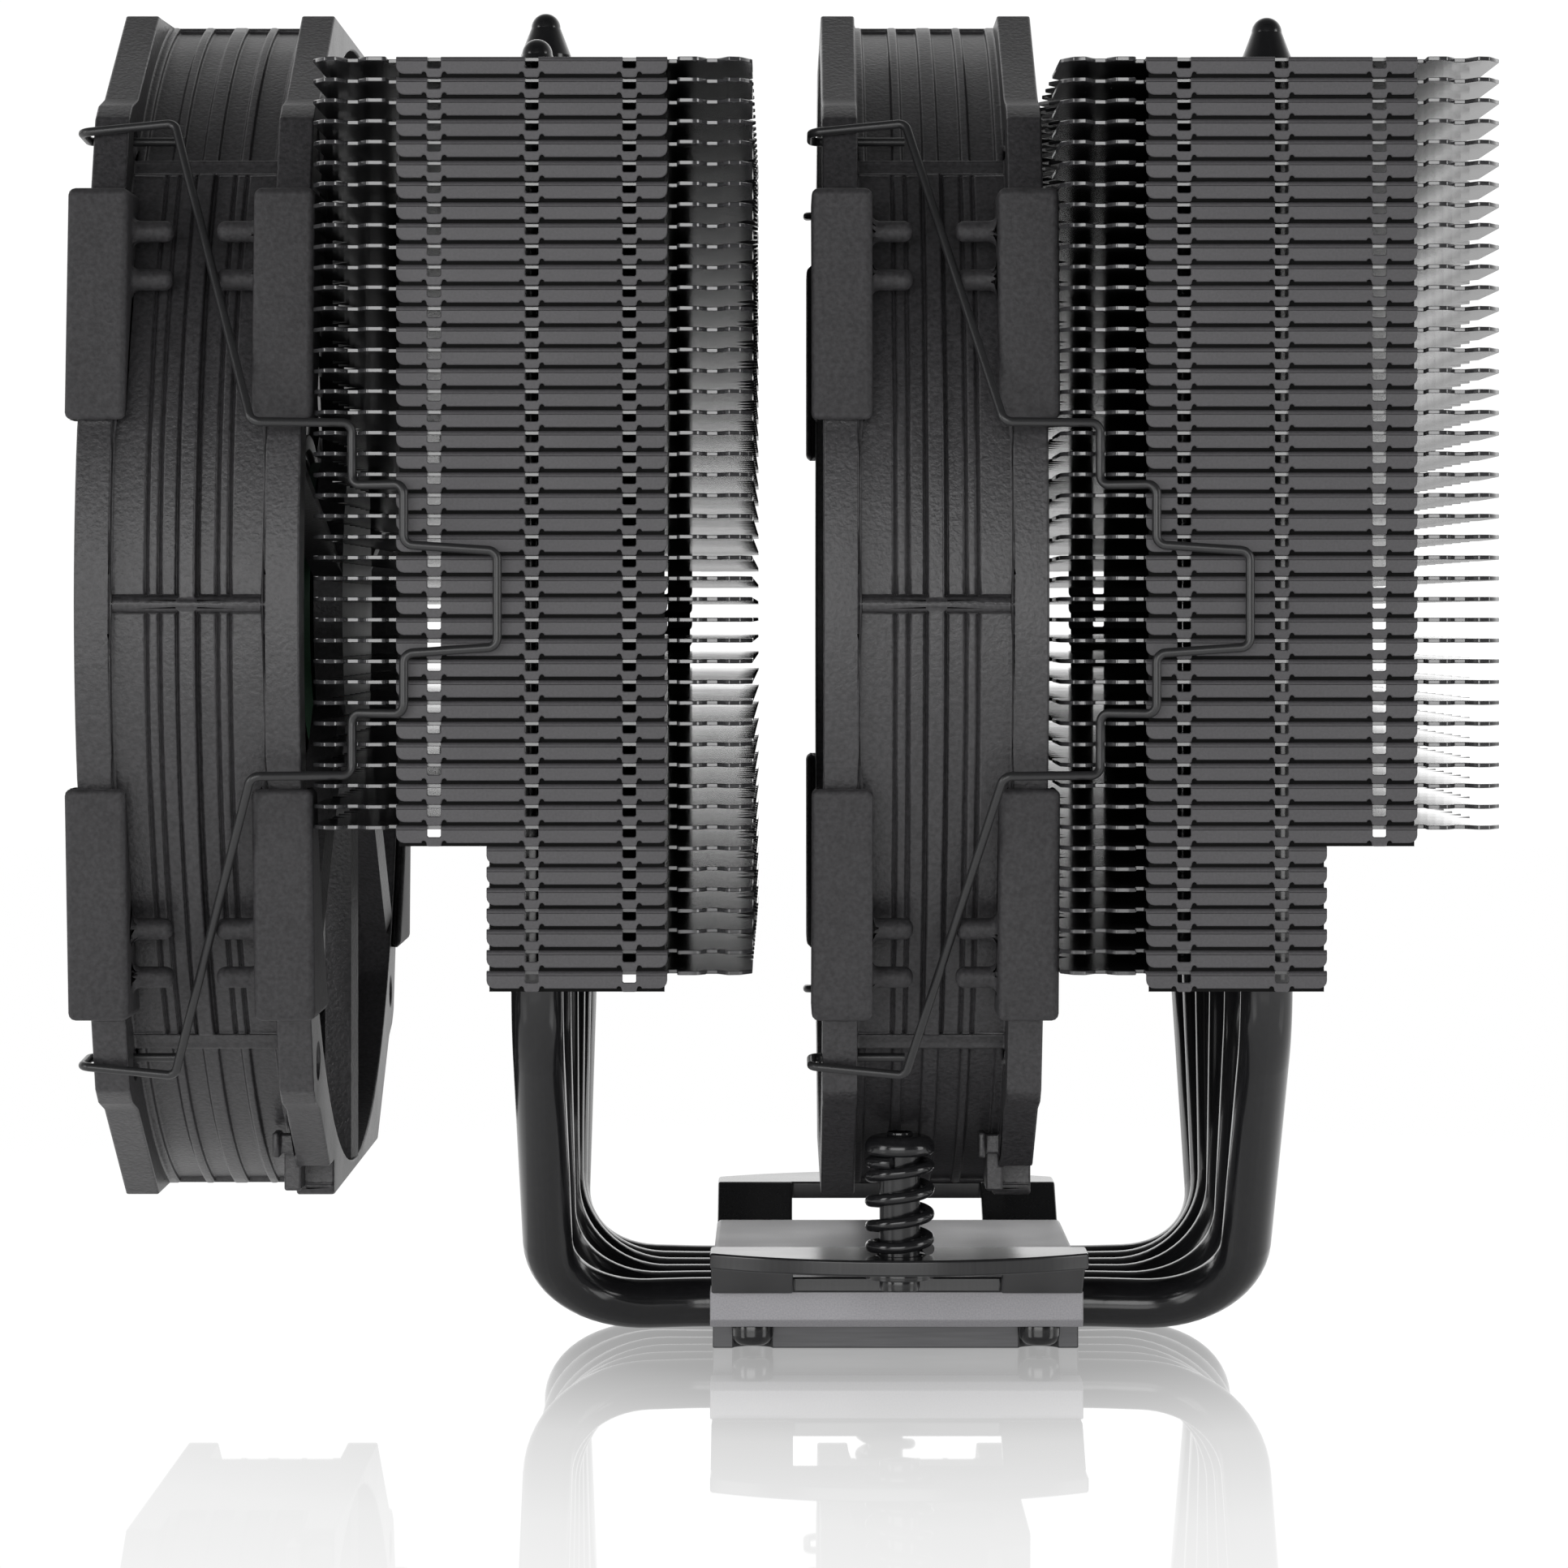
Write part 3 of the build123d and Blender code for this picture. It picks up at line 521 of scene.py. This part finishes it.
def swept(path, radius, sides=14):
    """A round wire along a list of points, with closed flat ends."""
    points, faces = [], []
    line = [Vector(p) for p in path]
    side = None
    for i, here in enumerate(line):
        ahead = (line[min(i + 1, len(line) - 1)] - line[max(i - 1, 0)]).normalized()
        if side is None:
            side = ahead.orthogonal().normalized()
        side = (side - ahead * side.dot(ahead)).normalized()
        up = ahead.cross(side)
        for k in range(sides):
            a = tau * k / sides
            points.append(tuple(here + radius * (cos(a) * side + sin(a) * up)))
    for i in range(len(line) - 1):
        for k in range(sides):
            a, b = i * sides + k, i * sides + (k + 1) % sides
            faces.append((a, b, b + sides, a + sides))
    last = (len(line) - 1) * sides
    faces += [tuple(range(sides))[::-1], tuple(range(last, last + sides))]
    return [points, faces]


def add_springs(materials):
    """The coil springs, built at one fixed, squashed length."""
    for name, sign in (("near", -1), ("far", 1)):
        y0 = sign * SCREW_Y
        shape = moved(swept(spring_path(), SPRING_WIRE_R), lambda x, y, z: (x, y + y0, z + SPRING_Z0))
        node = f"{name}_pressure_spring"
        coil = piece(f"{name}_coil_spring", shape, "root", materials["springs"], [node],
                     sharp=60)
        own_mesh(coil)


# ---- CAD nodes' finishes

def dress_nodes(materials):
    """Each CAD node's finish and its rounded edges."""
    slots = {s["node"]: s["material_slot"] for s in frame["record"]["subparts"]}
    for node, obj in NODES.items():
        dress(obj, materials[slots[node]])
        obj.data.shade_smooth()
    for fan in ("front_fan", "centre_fan"):
        for part, width in FAN_EDGES.items():
            soften(f"{fan}_{part}", width)
    for node, width in BASE_EDGES.items():
        soften(node, width)


# ---- floor and light

def grey(value):
    """A grey colour."""
    return (value, value, value, 1)


def add_floor():
    """A pale floor that mirrors the base near the cooler and is plain white further out."""
    bpy.ops.mesh.primitive_plane_add(size=FLOOR_SIZE)
    floor = bpy.context.object
    floor.name = "floor"
    material, shader, coords = new_material("white_floor")
    tree = material.node_tree
    nodes, links = tree.nodes, tree.links
    nodes.remove(shader)
    glow = nodes.new("ShaderNodeEmission")
    glow.inputs["Strength"].default_value = 1.0
    mirror = nodes.new("ShaderNodeBsdfGlossy")
    mirror.inputs["Roughness"].default_value = MIRROR_ROUGHNESS
    reach = nodes.new("ShaderNodeVectorMath")
    reach.operation = "LENGTH"
    links.new(coords, reach.inputs[0])
    fade = nodes.new("ShaderNodeValToRGB")
    links.new(spread(tree, reach.outputs["Value"], 0, 1, 0, MIRROR_REACH), fade.inputs["Fac"])
    fade.color_ramp.elements[0].color = grey(MIRROR_SHARE)
    fade.color_ramp.elements[1].color = grey(0)
    for place, share in MIRROR_FADE:
        fade.color_ramp.elements.new(place).color = grey(share)
    mix = nodes.new("ShaderNodeMixShader")
    links.new(fade.outputs["Color"], mix.inputs["Fac"])
    links.new(glow.outputs["Emission"], mix.inputs[1])
    links.new(mirror.outputs["BSDF"], mix.inputs[2])
    links.new(mix.outputs["Shader"], nodes["Material Output"].inputs["Surface"])
    dress(floor, material)


def add_area(name, place, size, power):
    """A rectangular softbox aimed at the middle of the cooler."""
    data = bpy.data.lights.new(name, "AREA")
    data.shape = "RECTANGLE"
    data.size, data.size_y = size
    data.energy = power
    lamp = bpy.data.objects.new(name, data)
    bpy.context.scene.collection.objects.link(lamp)
    lamp.location = place
    aim = Vector(LIGHT_TARGET) - Vector(place)
    lamp.rotation_euler = aim.to_track_quat("-Z", "Y").to_euler()


def add_world():
    """A white backdrop behind the cooler that falls off to a dark room, overhead and in front."""
    world = bpy.data.worlds.new("studio")
    bpy.context.scene.world = world
    world.use_nodes = True
    tree = world.node_tree
    nodes, links = tree.nodes, tree.links
    room = nodes["Background"]
    coords = nodes.new("ShaderNodeTexCoord")
    split = nodes.new("ShaderNodeSeparateXYZ")
    links.new(coords.outputs["Generated"], split.inputs["Vector"])
    ramp = nodes.new("ShaderNodeValToRGB")
    ramp.color_ramp.elements[0].position = 0.25
    ramp.color_ramp.elements[0].color = grey(FRONT_GLOW)
    ramp.color_ramp.elements[1].position = 0.85
    ramp.color_ramp.elements[1].color = grey(BACK_GLOW)
    ramp.color_ramp.elements.new(0.55).color = grey(SIDE_GLOW)
    links.new(spread(tree, split.outputs["Y"], 0, 1, -1, 1), ramp.inputs["Fac"])
    overhead = spread(tree, split.outputs["Z"], 1, 0.25, 0.35, 0.85)
    horizon = spread(tree, split.outputs["Z"], 0.3, 1, -0.01, 0.0)
    shade = nodes.new("ShaderNodeVectorMath")
    shade.operation = "SCALE"
    links.new(ramp.outputs["Color"], shade.inputs[0])
    both = nodes.new("ShaderNodeMath")
    both.operation = "MULTIPLY"
    links.new(overhead, both.inputs[0])
    links.new(horizon, both.inputs[1])
    links.new(both.outputs["Value"], shade.inputs["Scale"])
    links.new(shade.outputs["Vector"], room.inputs["Color"])
    room.inputs["Strength"].default_value = 1.0
    seen = nodes.new("ShaderNodeBackground")
    seen.inputs["Color"].default_value = grey(1)
    seen.inputs["Strength"].default_value = BACKDROP_GLOW
    path = nodes.new("ShaderNodeLightPath")
    mix = nodes.new("ShaderNodeMixShader")
    links.new(path.outputs["Is Camera Ray"], mix.inputs["Fac"])
    links.new(room.outputs["Background"], mix.inputs[1])
    links.new(seen.outputs["Background"], mix.inputs[2])
    links.new(mix.outputs["Shader"], nodes["World Output"].inputs["Surface"])


def add_light():
    """The backdrop and the softboxes, with colours shown as they are."""
    add_world()
    for light in LIGHTS:
        add_area(*light)
    bpy.context.scene.view_settings.view_transform = "Standard"


def build():
    """The whole scene around the CAD nodes."""
    add_camera()
    materials = make_materials()
    dress_nodes(materials)
    add_fins(materials)
    add_springs(materials)
    add_floor()
    add_light()


build()
